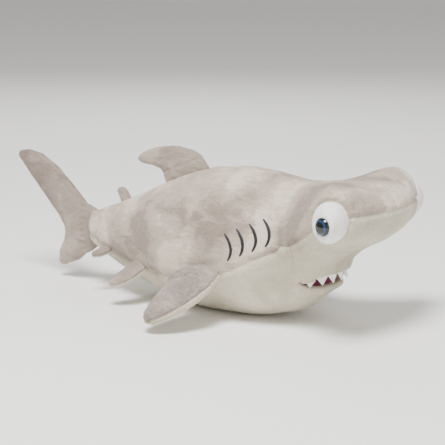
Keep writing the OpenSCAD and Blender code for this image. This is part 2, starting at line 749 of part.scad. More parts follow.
// Tail fin, on an upright root behind the trunk
tail_cols = [0, 0.04, 0.1, 0.17, 0.3, 0.45, 0.6, 0.75, 0.9, 1];
function tail_swell(v, v0) =
    v < v0 ? sqrt(1 - pow(1 - v / v0, 2)) : sqrt(1 - pow((v - v0) / (1 - v0), 2));
function tail_grid(kind) = [
    for (i = [(kind == 2 ? 1 : 0) : len(tail_rows) - (kind == 2 ? 2 : 1)])
        let (r = tail_rows[i], kx = tail_reach / 108, kz = tail_h / 125)
        [
            for (j = [(kind == 2 ? 2 : 0) : len(tail_cols) - (kind == 2 ? 2 : 1)])
                let (v = tail_cols[j], p = tail_swell(v, r[5]))
                [
                    tail_x - 1.4 * fin_clear - kx * lerp(r[0], r[2], v),
                    gap / 2 + depth(r[4] * p, p, kind),
                    trunk_mid(0) + kz * lerp(r[1], r[3], v)
                ]
        ]
];
module tail_fin_left_panel() {
    color(grey) sheet(tail_grid(0), tail_grid(1));
}
module tail_fin_right_panel() {
    color(grey) mirror([0, 1, 0]) sheet(tail_grid(0), tail_grid(1));
}
module tail_fin_stuffing() {
    color(fibre) filling(tail_grid(2));
}

back_panel_left();
back_panel_right();
belly_panel();
head_under_panel();
eye_patch_left();
eye_patch_right();
mouth_lining();
felt_teeth();
trunk_stuffing();
head_stuffing();
chin_stuffing();
gill_stitches_left();
gill_stitches_right();
eye_left();
eye_right();
eye_washer_left();
eye_washer_right();
dorsal_fin_left_panel();
dorsal_fin_right_panel();
dorsal_fin_stuffing();
rear_dorsal_fin_left_panel();
rear_dorsal_fin_right_panel();
rear_dorsal_fin_stuffing();
tail_fin_left_panel();
tail_fin_right_panel();
tail_fin_stuffing();
pectoral_left_upper_panel();
pectoral_left_lower_panel();
pectoral_left_stuffing();
pectoral_right_upper_panel();
pectoral_right_lower_panel();
pectoral_right_stuffing();
pelvic_left_upper_panel();
pelvic_left_lower_panel();
pelvic_left_stuffing();
pelvic_right_upper_panel();
pelvic_right_lower_panel();
pelvic_right_stuffing();
anal_left_upper_panel();
anal_left_lower_panel();
anal_left_stuffing();
anal_right_upper_panel();
anal_right_lower_panel();
anal_right_stuffing();
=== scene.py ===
import json
import math
import bmesh
import bpy
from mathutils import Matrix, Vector, noise
from mathutils.bvhtree import BVHTree
from mathutils.kdtree import KDTree


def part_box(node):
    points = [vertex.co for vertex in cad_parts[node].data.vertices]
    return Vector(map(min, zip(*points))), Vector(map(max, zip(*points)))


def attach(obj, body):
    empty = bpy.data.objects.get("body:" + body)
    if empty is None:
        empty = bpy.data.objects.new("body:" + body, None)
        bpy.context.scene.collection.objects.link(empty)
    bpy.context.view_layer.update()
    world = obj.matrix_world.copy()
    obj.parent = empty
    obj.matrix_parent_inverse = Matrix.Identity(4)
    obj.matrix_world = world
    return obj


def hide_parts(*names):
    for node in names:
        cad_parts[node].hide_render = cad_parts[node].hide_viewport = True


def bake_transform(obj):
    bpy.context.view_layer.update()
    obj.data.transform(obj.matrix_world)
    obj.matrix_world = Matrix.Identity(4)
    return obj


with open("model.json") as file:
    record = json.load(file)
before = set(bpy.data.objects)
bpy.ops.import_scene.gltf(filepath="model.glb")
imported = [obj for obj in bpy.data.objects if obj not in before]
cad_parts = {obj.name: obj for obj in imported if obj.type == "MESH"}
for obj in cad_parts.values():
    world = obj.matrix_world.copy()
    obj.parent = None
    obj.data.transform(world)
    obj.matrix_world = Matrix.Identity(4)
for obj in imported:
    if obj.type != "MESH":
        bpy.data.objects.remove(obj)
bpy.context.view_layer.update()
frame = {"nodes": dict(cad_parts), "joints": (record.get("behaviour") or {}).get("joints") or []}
MM = 0.001

# ---- Studio ----
# A pale floor under broad, soft lights, and the camera a little above the shark on its right,
# ahead of the fin.


def linear(code, alpha=1.0):
    parts = [int(code[i:i + 2], 16) / 255 for i in (1, 3, 5)]
    parts = [c / 12.92 if c <= 0.04045 else ((c + 0.055) / 1.055) ** 2.4 for c in parts]
    return (*parts, alpha)


def add(tree, kind, links=(), **settings):
    """A node of that kind with its settings. links are (socket in, node, socket out)."""
    node = tree.nodes.new(kind)
    for name, value in settings.items():
        setattr(node, name, value)
    for socket, value in dict(links).items():
        if isinstance(value, tuple) and isinstance(value[0], bpy.types.Node):
            tree.links.new(value[0].outputs[value[1]], node.inputs[socket])
        else:
            node.inputs[socket].default_value = value
    return node


def surface(name):
    """A new material, with its tree, its Principled shader and its object coordinates."""
    material = bpy.data.materials.new(name)
    material.use_nodes = True
    tree = material.node_tree
    coords = add(tree, "ShaderNodeTexCoord")
    return material, tree, tree.nodes["Principled BSDF"], (coords, "Object")


view_turn = math.radians(34.8)
view_tilt = math.radians(11.7)
view_distance = 1.607
view_aim = Vector((0.0375, 0, 0.0884))
view_back = Vector((
    math.sin(view_turn) * math.cos(view_tilt),
    -math.cos(view_turn) * math.cos(view_tilt),
    math.sin(view_tilt),
))
camera = bpy.data.objects.new("camera", bpy.data.cameras.new("camera"))
bpy.context.collection.objects.link(camera)
camera.location = view_aim + view_distance * view_back
camera.rotation_euler = view_back.to_track_quat("Z", "Y").to_euler()
camera.data.sensor_width = 36
camera.data.lens = 124.3
camera.data.clip_end = 20
bpy.context.scene.camera = camera

floor_mesh = bpy.data.meshes.new("floor")
floor_mesh.from_pydata(
    [(-4, -4, 0), (4, -4, 0), (4, 4, 0), (-4, 4, 0)], [], [(0, 1, 2, 3)]
)
floor = bpy.data.objects.new("floor", floor_mesh)
bpy.context.collection.objects.link(floor)
painted, tree, shader, place = surface("matt white floor")
shader.inputs["Base Color"].default_value = linear("#f7f6f4")
shader.inputs["Roughness"].default_value = 0.9
floor_mesh.materials.append(painted)


def lamp(name, at, size, power, tint="#ffffff"):
    light = bpy.data.lights.new(name, "AREA")
    light.shape = "DISK"
    light.size = size
    light.energy = power
    light.color = linear(tint)[:3]
    lamp_object = bpy.data.objects.new(name, light)
    bpy.context.collection.objects.link(lamp_object)
    lamp_object.location = at
    aim = Vector((0, 0, 0.08)) - Vector(at)
    lamp_object.rotation_euler = aim.to_track_quat("-Z", "Y").to_euler()


lamp("key softbox", (0.25, -0.75, 1.75), 0.75, 64)
lamp("fill softbox", (1.7, -0.9, 0.7), 1.2, 8)
lamp("back softbox", (-0.9, 1.2, 1.2), 1.4, 13)
world = bpy.data.worlds.new("studio air")
bpy.context.scene.world = world
world.use_nodes = True
world.node_tree.nodes["Background"].inputs["Color"].default_value = linear("#fffdf9")
world.node_tree.nodes["Background"].inputs["Strength"].default_value = 0.5

# ---- Plush ----
# Short-pile polyester plush, about 2 mm deep. Its nap lies in soft patches, so it catches the
# light in cloudy blotches, and its fibres give a fine broken grain and a pale rim of sheen.


def plush(name, pale, mid, dark, nap=0.5, grain=0.5, sheen=0.35):
    material, tree, shader, place = surface(name)
    clouds = add(tree, "ShaderNodeTexNoise", {
        "Vector": place, "Scale": 15.0, "Detail": 2.5, "Roughness": 0.5, "Distortion": 0.6,
    })
    brushed = add(tree, "ShaderNodeMapping", {"Vector": place, "Scale": (0.45, 1.0, 1.0)})
    streaks = add(tree, "ShaderNodeTexNoise", {
        "Vector": (brushed, "Vector"), "Scale": 95.0, "Detail": 4.0, "Roughness": 0.6,
        "Distortion": 1.4,
    })
    mixed = add(tree, "ShaderNodeMath", {
        0: (clouds, "Fac"), 1: 0.78, 2: 0.0,
    }, operation="MULTIPLY")
    lay = add(tree, "ShaderNodeMath", {
        0: (streaks, "Fac"), 1: 0.22, 2: (mixed, "Value"),
    }, operation="MULTIPLY_ADD")
    ramp = add(tree, "ShaderNodeValToRGB", {"Fac": (lay, "Value")})
    ramp.color_ramp.interpolation = "EASE"
    stops = ramp.color_ramp.elements
    stops[0].position = 0.5 - 0.2 * nap
    stops[0].color = linear(dark)
    stops[1].position = 0.5 + 0.2 * nap
    stops[1].color = linear(pale)
    stops.new(0.5).color = linear(mid)
    # Pile tips, drawn about 0.8 mm apart so that they show
    tips = add(tree, "ShaderNodeTexNoise", {
        "Vector": place, "Scale": 1100.0, "Detail": 2.0, "Roughness": 0.65,
    })
    shade = add(tree, "ShaderNodeMapRange", {
        "Value": (tips, "Fac"), "From Min": 0.25, "From Max": 0.75,
        "To Min": 1 - 0.24 * grain, "To Max": 1 + 0.14 * grain,
    })
    tufts = add(tree, "ShaderNodeTexNoise", {
        "Vector": place, "Scale": 300.0, "Detail": 3.0, "Roughness": 0.7, "Distortion": 0.8,
    })
    tuft_shade = add(tree, "ShaderNodeMapRange", {
        "Value": (tufts, "Fac"), "From Min": 0.3, "From Max": 0.7,
        "To Min": 1 - 0.10 * grain, "To Max": 1 + 0.07 * grain,
    })
    shades = add(tree, "ShaderNodeMath", {
        0: (shade, "Result"), 1: (tuft_shade, "Result"),
    }, operation="MULTIPLY")
    toned = add(tree, "ShaderNodeVectorMath", {
        0: (ramp, "Color"), "Scale": (shades, "Value"),
    }, operation="SCALE")
    tree.links.new(toned.outputs["Vector"], shader.inputs["Base Color"])
    fluff = add(tree, "ShaderNodeBump", {
        "Height": (tips, "Fac"), "Strength": 0.45, "Distance": 0.0009,
    })
    tufted = add(tree, "ShaderNodeBump", {
        "Height": (tufts, "Fac"), "Strength": 0.75 * grain + 0.1, "Distance": 0.0028,
        "Normal": (fluff, "Normal"),
    })
    lumpy = add(tree, "ShaderNodeBump", {
        "Height": (streaks, "Fac"), "Strength": 0.35, "Distance": 0.005,
        "Normal": (tufted, "Normal"),
    })
    tree.links.new(lumpy.outputs["Normal"], shader.inputs["Normal"])
    shader.inputs["Roughness"].default_value = 0.92
    shader.inputs["IOR"].default_value = 1.5
    shader.inputs["Specular IOR Level"].default_value = 0.12
    shader.inputs["Sheen Weight"].default_value = sheen
    shader.inputs["Sheen Roughness"].default_value = 0.45
    shader.inputs["Sheen Tint"].default_value = linear("#f6efe6")
    return material


grey_plush = plush("grey plush", "#dccfbc", "#b9aa9b", "#95867a", 0.5, 0.75)
tail_plush = plush("darker grey plush", "#b3a598", "#9b8d82", "#83756b", 0.6, 0.7)
curly_plush = plush("curly grey plush", "#bfb1a5", "#a0928a", "#80736c", 0.6, 1.3)
cream_plush = plush("cream plush", "#dad3be", "#c9c2ac", "#b5ad97", 0.7, 0.65)
white_plush = plush("white plush", "#fcfbf7", "#f5f3ed", "#e9e6de", 0.8, 0.35)

# ---- Body ----
# Four panels make the body: two grey back panels that meet along the spine, the cream belly and
# the cream underside of the hammer. They are sewn edge to edge, turned out and stuffed.


def shell(node):
    """A CAD node's mesh with its doubled points joined."""
    mesh = bmesh.new()
    mesh.from_mesh(frame["nodes"][node].data)
    bmesh.ops.remove_doubles(mesh, verts=mesh.verts, dist=0.01 * MM)
    bmesh.ops.dissolve_degenerate(mesh, edges=mesh.edges, dist=0.01 * MM)
    return mesh


def outer_faces(mesh):
    """Keeps the side of a thin closed sheet that faces out of the stuffed body."""
    mesh.normal_update()
    left = set(mesh.faces)
    sides = []
    while left:
        side, edge_of = set(), [left.pop()]
        while edge_of:
            face = edge_of.pop()
            side.add(face)
            for edge in face.edges:
                for other in edge.link_faces:
                    if other in left and edge.calc_face_angle(0) < math.radians(46):
                        left.discard(other)
                        edge_of.append(other)
        sides.append(side)
    area = {k: sum(f.calc_area() for f in side) for k, side in enumerate(sides)}
    broad = sorted(area, key=area.get)[-2:]

    def vote(f):
        just_off = f.calc_center_median() + f.normal * 0.3 * MM
        return f.calc_area() * (1 if body_outside(just_off, f.normal) else -1)

    votes = {k: sum(vote(f) for f in sides[k]) / area[k] for k in broad}
    out_side = max(votes, key=votes.get)
    in_side = next(k for k in broad if k != out_side)
    inner_points = {v for f in sides[in_side] for v in f.verts}
    outer = {f for f in sides[out_side] if not any(v in inner_points for v in f.verts)}
    drop = [f for f in mesh.faces if f not in outer]
    bmesh.ops.delete(mesh, geom=drop, context="FACES")
    return mesh


body_nodes = ["back_panel_left", "back_panel_right", "belly_panel", "head_under_panel"]
skin_nodes = body_nodes + ["eye_patch_left", "eye_patch_right", "mouth_lining"]
corners, walls = [], []
for skin_node in skin_nodes:
    panel = shell(skin_node)
    first = len(corners)
    corners += [v.co.copy() for v in panel.verts]
    walls += [[first + v.index for v in f.verts] for f in panel.faces]
    panel.free()
all_walls = BVHTree.FromPolygons(corners, walls)


def body_outside(at, way):
    """True when a line from there crosses the body's fabric an even number of times."""
    votes = 0
    for lean in (Vector((0.02, 0.01, 0.03)), Vector((-0.31, 0.2, 0.12)), Vector((0.25, -0.3, 0.2))):
        step = (way + lean).normalized()
        start, layers = at, 0
        for _ in range(24):
            hit = all_walls.ray_cast(start, step)
            if hit[0] is None:
                break
            layers += 1
            start = hit[0] + step * 0.01 * MM
        votes += 1 if round(layers / 2) % 2 == 0 else -1
    return votes > 0


def squared(mesh):
    """Joins the pairs of triangles that make the squarest quads."""
    mesh.normal_update()
    choices = []
    for edge in mesh.edges:
        faces = edge.link_faces
        if len(faces) != 2 or faces[0].normal.dot(faces[1].normal) < 0.4:
            continue
        ends = set(edge.verts)
        over, under = [next(v for v in f.verts if v not in ends) for f in faces]
        ring = [edge.verts[0].co, over.co, edge.verts[1].co, under.co]
        skew = sum(
            abs((ring[k - 1] - ring[k]).angle(ring[(k + 1) % 4] - ring[k]) - math.pi / 2)
            for k in range(4)
        )
        choices.append((skew, edge.index))
    mesh.edges.ensure_lookup_table()
    joined, taken = [], set()
    for skew, index in sorted(choices):
        faces = set(mesh.edges[index].link_faces)
        if not faces & taken:
            taken |= faces
            joined.append(mesh.edges[index])
    bmesh.ops.dissolve_edges(mesh, edges=joined, use_verts=False)
    return mesh


def carried_on(mesh, border, move, panel=None):
    """Sews a strip on to an open border, out to where move puts each point."""
    mesh.normal_update()
    twin = {}
    for edge in border:
        for v in edge.verts:
            if v not in twin:
                twin[v] = mesh.verts.new(move(v.co, v.normal))
    new_border = []
    for edge in border:
        loop = edge.link_loops[0]
        a, b = loop.vert, loop.link_loop_next.vert
        strip = mesh.faces.new([b, a, twin[a], twin[b]])
        strip[piece_of] = loop.face[piece_of] if panel is None else panel
        new_border.append(mesh.edges.get((twin[a], twin[b])))
    return new_border


body = bmesh.new()
piece_of = body.faces.layers.int.new("panel")
LINING = 4
for number, body_node in enumerate(body_nodes):
    panel = squared(outer_faces(shell(body_node)))
    made = {v: body.verts.new(v.co) for v in panel.verts if v.link_faces}
    for f in panel.faces:
        body.faces.new([made[v] for v in f.verts])[piece_of] = number
    panel.free()


def sewn(mesh, reach):
    """Joins each border point to the nearest border point of another panel."""
    border = [v for v in mesh.verts if v.is_boundary]
    panels = {v: {f[piece_of] for f in v.link_faces} for v in border}
    finder = KDTree(len(border))
    for k, v in enumerate(border):
        finder.insert(v.co, k)
    finder.balance()

    def partner(v):
        for co, k, far in finder.find_range(v.co, reach):
            if not panels[border[k]] & panels[v]:
                return border[k]
        return None

    target = {}
    for v in border:
        mate = partner(v)
        if mate is not None and v not in target and mate not in target.values():
            final = target.get(mate, mate)
            if final is not v:
                final.co = (v.co + final.co) / 2
                target[v] = final
    target = {v: mate for v, mate in target.items() if mate not in target}
    bmesh.ops.weld_verts(mesh, targetmap=target)


sewn(body, 3.0 * MM)
stragglers = [v for v in body.verts if v.is_boundary]
bmesh.ops.remove_doubles(body, verts=stragglers, dist=2.0 * MM)

# Where the front seam meets the patch, the two fabrics part: a small gusset closes the notch
nose_x = max(v.co.x for v in body.verts)
for side in (1, -1):
    notch = [
        e for e in body.edges
        if e.is_boundary and sum(v.co.y * side for v in e.verts) / 2 > 50 * MM
        and sum(v.co.x for v in e.verts) / 2 > nose_x - 17.3 * MM
    ]
    ends = dict.fromkeys(v for e in notch for v in e.verts)
    apex, *others = sorted(ends, key=lambda v: abs(v.co.y))
    upper = [v for v in others if v.co.z > apex.co.z - 1.9 * MM]
    lower = [v for v in others if v not in upper]
    previous = (apex, apex)
    for pair in zip(upper, lower):
        ring = [previous[0], pair[0], pair[1]] + ([previous[1]] if previous[1] is not apex else [])
        gusset = body.faces.new(ring)
        gusset.normal_update()
        if gusset.normal.x < 0:
            gusset.normal_flip()
        gusset[piece_of] = 3
        previous = pair

body.edges.ensure_lookup_table()
open_edges = [e for e in body.edges if e.is_boundary]


def middle(edge):
    return (edge.verts[0].co + edge.verts[1].co) / 2


tail_end = min(v.co.x for v in body.verts)
tail_edges = [e for e in open_edges if middle(e).x < tail_end + 1 * MM]
mouth_edges = [e for e in open_edges if middle(e).x > 0.14 and middle(e).z < 0.064]
patch_edges = [e for e in open_edges if middle(e).x > 0.185 and middle(e).z > 0.09]
loose_edges = [
    e for e in open_edges
    if e not in tail_edges and e not in mouth_edges and e not in patch_edges
]
BELLY = 2
for closed in bmesh.ops.holes_fill(body, edges=loose_edges, sides=12)["faces"]:
    closed[piece_of] = BELLY
neck_x = 140.5 * MM
mouth_at = Vector((neck_x + 8.6 * MM, 0, 51.5 * MM))
lip_radius, lower_lip, upper_lip = 34.5 * MM, 46 * MM, 57 * MM


def into_mouth(share, flatten):
    """Draws a point of the lips in towards the mouth's middle by those shares."""
    def move(co, normal):
        x = mouth_at.x + (co.x - mouth_at.x) * share
        return Vector((x, co.y * share, mouth_at.z + (co.z - mouth_at.z) * flatten))
    return move


def patch_middle(co):
    return Vector((neck_x + 72.5 * MM, co.y, 123 * MM))


for e in body.edges:
    if len(e.link_faces) == 2 and e.link_faces[0][piece_of] != e.link_faces[1][piece_of]:
        e.seam = True
for e in patch_edges + tail_edges:
    e.seam = True
lip = carried_on(body, mouth_edges, into_mouth(0.93, 0.8))
lip = carried_on(body, lip, into_mouth(0.84, 0.85))
for e in lip:
    e.seam = True
pocket = carried_on(body, lip, into_mouth(0.66, 1.0), LINING)
pocket = carried_on(body, pocket, into_mouth(0.45, 0.0), LINING)
pocket_ends = list(dict.fromkeys(v for e in pocket for v in e.verts))
bmesh.ops.remove_doubles(body, verts=pocket_ends, dist=2 * MM)
carried_on(
    body, patch_edges,
    lambda co, n: co + (patch_middle(co) - co).normalized() * 2.5 * MM - n * 1.5 * MM,
)
stump_x, stump_z = tail_end - 1.2 * MM, 63.8 * MM
stump = carried_on(
    body, tail_edges,
    lambda co, n: Vector((stump_x, co.y * 0.55, stump_z + (co.z - stump_z) * 0.7)),
)
bmesh.ops.holes_fill(body, edges=stump, sides=60)
body.normal_update()

body_finish = [grey_plush, grey_plush, cream_plush, cream_plush]


def solid(name, mesh, finishes):
    """A mesh object of that name with those materials, smoothly shaded."""
    data = bpy.data.meshes.new(name)
    if isinstance(mesh, bmesh.types.BMesh):
        mesh.to_mesh(data)
        mesh.free()
    else:
        data.from_pydata(*mesh)
    for finish in finishes:
        data.materials.append(finish)
    data.polygons.foreach_set("use_smooth", [True] * len(data.polygons))
    made = bpy.data.objects.new(name, data)
    bpy.context.collection.objects.link(made)
    return made


def applied(piece):
    """Applies every modifier of a piece to its mesh."""
    view = bpy.context.evaluated_depsgraph_get()
    view.update()
    data = bpy.data.meshes.new_from_object(piece.evaluated_get(view))
    piece.modifiers.clear()
    old = piece.data
    piece.data = data
    bpy.data.meshes.remove(old)
    data.polygons.foreach_set("use_smooth", [True] * len(data.polygons))
    return piece


def smoothed(piece, levels):
    """Rounds a piece by subdividing it and keeps its open rims in place."""
    rounder = piece.modifiers.new("smooth", "SUBSURF")
    rounder.levels = rounder.render_levels = levels
    rounder.boundary_smooth = "PRESERVE_CORNERS"
    return applied(piece)


def stuffed(piece, pinned, pressure, most, frames=18, stiff=12):
    """Blows a fabric form up from inside like stuffing does, held where it is pinned."""
    rest = [v.co.copy() for v in piece.data.vertices]
    pins = piece.vertex_groups.new(name="held")
    for index, weight in pinned.items():
        pins.add([index], weight, "REPLACE")
    cloth = piece.modifiers.new("stuffing", "CLOTH")
    cloth.settings.use_pressure = True
    cloth.settings.uniform_pressure_force = pressure
    cloth.settings.effector_weights.gravity = 0
    cloth.settings.vertex_group_mass = "held"
    cloth.settings.tension_stiffness = stiff
    cloth.settings.compression_stiffness = stiff
    cloth.settings.bending_stiffness = 0.6
    cloth.settings.quality = 5
    cloth.collision_settings.use_collision = False
    cloth.point_cache.frame_start = 1
    cloth.point_cache.frame_end = frames
    for step in range(1, frames + 1):
        bpy.context.scene.frame_set(step)
    applied(piece)
    bpy.context.scene.frame_set(1)
    for v, start in zip(piece.data.vertices, rest):
        moved = v.co - start
        if moved.length > most:
            v.co = start + moved.normalized() * most
    return piece


for f in body.faces:
    f.material_index = f[piece_of]

# Short knitted pile, dyed deep pink and mottled a little by the way its fibres lie.
lining_pile, tree, shader, place = surface("dark pink plush lining")
weave = add(tree, "ShaderNodeTexNoise", {"Vector": place, "Scale": 700.0, "Detail": 2.0})
pinks = add(tree, "ShaderNodeValToRGB", {"Fac": (weave, "Fac")})
pinks.color_ramp.elements[0].color = linear("#6f2446")
pinks.color_ramp.elements[0].position = 0.3
pinks.color_ramp.elements[1].color = linear("#b04f7e")
pinks.color_ramp.elements[1].position = 0.75
pile_bump = add(tree, "ShaderNodeBump", {
    "Height": (weave, "Fac"), "Strength": 0.5, "Distance": 0.0008,
})
tree.links.new(pinks.outputs["Color"], shader.inputs["Base Color"])
tree.links.new(pile_bump.outputs["Normal"], shader.inputs["Normal"])
shader.inputs["Roughness"].default_value = 0.85
shader.inputs["Sheen Weight"].default_value = 0.5
shader.inputs["Sheen Roughness"].default_value = 0.4

skin = solid("skin", body, body_finish + [lining_pile])
skin = smoothed(skin, 1)
held = {}
for e in skin.data.edges:
    if e.use_seam:
        for index in e.vertices:
            held[index] = 1.0
for poly in skin.data.polygons:
    if poly.material_index == LINING:
        for index in poly.vertices:
            held[index] = 1.0
for v in skin.data.vertices:
    if v.co.z < 3 * MM or v.co.x < tail_end + 3 * MM:
        held[v.index] = 1.0
stuffed(skin, held, 3.0, 2.5 * MM)
skin = smoothed(skin, 2)


def seam_points(data):
    """Points along every seam of a mesh, as a finder."""
    ends = {i for e in data.edges if e.use_seam for i in e.vertices}
    finder = KDTree(len(ends))
    for i in ends:
        finder.insert(data.vertices[i].co, i)
    finder.balance()
    return finder


def fade(far, width):
    return math.exp(-(far / width) ** 2)


# Folds in the body's fabric: where it lies, which way it runs, how long, how wide and how deep
body_folds = [
    (Vector((-0.118, -0.022, 0.062)), Vector((0.1, -0.1, 1)), 22, 3.2, 1.4),
    (Vector((-0.104, -0.028, 0.05)), Vector((0.35, 0, 1)), 16, 3.0, 0.9),
    (Vector((-0.118, 0.022, 0.062)), Vector((0.1, 0.1, 1)), 22, 3.2, 1.4),
    (Vector((0.088, -0.072, 0.062)), Vector((1, 0, 0.35)), 14, 3.4, 1.1),
    (Vector((0.088, 0.072, 0.062)), Vector((1, 0, 0.35)), 14, 3.4, 1.1),
    (Vector((0.165, -0.056, 0.128)), Vector((0.7, -0.2, 1)), 20, 4.5, 1.2),
    (Vector((0.165, 0.056, 0.128)), Vector((0.7, 0.2, 1)), 20, 4.5, 1.2),
]
seams = seam_points(skin.data)
skin_normals = [v.normal.copy() for v in skin.data.vertices]
for v, out in zip(skin.data.vertices, skin_normals):
    co = v.co.copy()
    far = seams.find(co)[2]
    pucker = noise.noise(co * 130)
    shift = -1.5 * MM * fade(far, 2.3 * MM) * (1 + 0.45 * pucker)
    shift += 0.8 * MM * fade(far - 7 * MM, 4.5 * MM) * (1 + 0.6 * noise.noise(co * 75))
    shift += 1.1 * MM * noise.noise(co * 24)
    shift += 0.45 * MM * noise.noise(co * 70 + Vector((3, 1, 7)))
    for at, way, length, width, deep in body_folds:
        away = co - at
        if away.length > 0.05:
            continue
        run = away.dot(way.normalized())
        bend = 3 * MM * math.sin(run * 160)
        side = away - way.normalized() * run
        across = side.dot(out.cross(way).normalized()) + bend
        wide = width * MM
        dip = fade(across, wide) - 0.55 * fade(abs(across) - 2.1 * wide, wide)
        if side.length < 0.03:
            shift -= deep * MM * fade(run, length * MM) * dip
    if co.z < 2 * MM and out.z < -0.7:
        shift *= 0.2
    v.co = co + out * shift
    # The lower lip hangs open, and both lips stand a little proud
    from_mouth = Vector((co.x - mouth_at.x, co.y, 0))
    turn = math.atan2(abs(co.y), co.x - mouth_at.x)
    lip_far = abs(from_mouth.length - lip_radius)
    if turn < 1.35 and co.x > mouth_at.x - 4 * MM:
        pout = max(0.0, math.cos(turn * 1.1)) ** 0.5
        below, above = co.z - lower_lip, co.z - upper_lip
        if co.z < mouth_at.z:
            v.co.z -= 4.2 * MM * pout * fade(lip_far, 13 * MM) * fade(min(0, below), 13 * MM)
            proud = 1.2 * MM * pout * fade(lip_far, 9 * MM) * fade(below, 8 * MM)
        else:
            v.co.z += 1.2 * MM * pout * fade(lip_far, 9 * MM) * fade(max(0, above), 8 * MM)
            proud = 1.4 * MM * pout * fade(lip_far, 7 * MM) * fade(above - 3 * MM, 5 * MM)
        v.co += from_mouth.normalized() * proud
    v.co.z = max(v.co.z, 0.4 * MM)


def cut_out(source, index, name, finish):
    """The faces of one material, as a piece of its own."""
    mesh = bmesh.new()
    mesh.from_mesh(source.data)
    drop = [f for f in mesh.faces if f.material_index != index]
    bmesh.ops.delete(mesh, geom=drop, context="FACES")
    for f in mesh.faces:
        f.material_index = 0
    return solid(name, mesh, [finish])


body_tree = BVHTree.FromPolygons(
    [v.co.copy() for v in skin.data.vertices], [list(f.vertices) for f in skin.data.polygons],
)
hidden_filling = {
    "back_panel_left": ["trunk_stuffing"], "back_panel_right": ["head_stuffing"],
    "belly_panel": ["chin_stuffing"], "head_under_panel": [],
}
for number, name in enumerate(body_nodes):
    panel = cut_out(skin, number, name.replace("_panel", "") + "_fabric", body_finish[number])
    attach(panel, "trunk")
    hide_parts(name, *hidden_filling[name])
lining = cut_out(skin, LINING, "mouth_pocket", lining_pile)
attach(lining, "trunk")
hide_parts("mouth_lining")
bpy.data.objects.remove(skin)

# ---- Eye patches ----
# A round cap of white plush closes each end of the hammer. It is sewn in all round its rim and
# has a small hole in the middle for the eye's stem.
eye_x, eye_z = neck_x + 73 * MM, 120 * MM
for side_name, side in (("left", 1), ("right", -1)):
    node = "eye_patch_" + side_name
    cap = squared(outer_faces(shell(node)))
    piece_of = cap.faces.layers.int.new("panel")
    rim = [
        e for e in cap.edges
        if e.is_boundary and math.hypot(middle(e).x - eye_x, middle(e).z - eye_z) > 9 * MM
    ]
    for e in rim:
        e.seam = True
    tucked = Vector((0, side * 3.0 * MM, 0))
    carried_on(
        cap, rim, lambda co, n: co + (patch_middle(co) - co).normalized() * 2.2 * MM - tucked,
    )
    patch = solid("eye_cap_" + side_name, cap, [white_plush])
    patch = smoothed(patch, 3)
    rim_points = seam_points(patch.data)
    normals = [v.normal.copy() for v in patch.data.vertices]
    for v, out in zip(patch.data.vertices, normals):
        far = rim_points.find(v.co)[2]
        shift = -0.9 * MM * fade(far, 1.8 * MM) + 0.9 * MM * fade(far - 7 * MM, 5 * MM)
        shift += 0.5 * MM * noise.noise(v.co * 60)
        v.co += out * shift
    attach(patch, "trunk")
    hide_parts(node)

# ---- Eyes ----
# Domed safety eyes of clear plastic over a printed blue iris, each on a stem that goes through
# the fabric into a washer. The dome is polished, so it mirrors the lamps in one small spot.
eye_radius = 9 * MM


def eye_look(side_name, centre, out):
    """Clear acrylic over a printed disc: black pupil, a ring of blue iris and a dark rim."""
    material, tree, shader, place = surface("eye plastic " + side_name)
    offset = add(tree, "ShaderNodeVectorMath", {0: place, 1: centre}, operation="SUBTRACT")
    across = add(tree, "ShaderNodeVectorMath", {
        0: (offset, "Vector"), 1: out,
    }, operation="CROSS_PRODUCT")
    radius = add(tree, "ShaderNodeVectorMath", {0: (across, "Vector")}, operation="LENGTH")
    scaled = add(tree, "ShaderNodeMath", {
        0: (radius, "Value"), 1: 1 / eye_radius,
    }, operation="MULTIPLY")
    rings = add(tree, "ShaderNodeValToRGB", {"Fac": (scaled, "Value")})
    stops = rings.color_ramp.elements
    stops[0].position, stops[0].color = 0.0, linear("#07080b")
    stops[1].position, stops[1].color = 1.0, linear("#0b1016")
    for at, code in (
        (0.55, "#040507"), (0.60, "#0c1e30"), (0.70, "#1b3e5e"), (0.78, "#142f49"), (0.86, "#070b11"),
    ):
        stops.new(at).color = linear(code)
    tree.links.new(rings.outputs["Color"], shader.inputs["Base Color"])
    shader.inputs["Roughness"].default_value = 0.06
    shader.inputs["IOR"].default_value = 1.49
    shader.inputs["Coat Weight"].default_value = 0.4
    shader.inputs["Coat Roughness"].default_value = 0.03
    return material


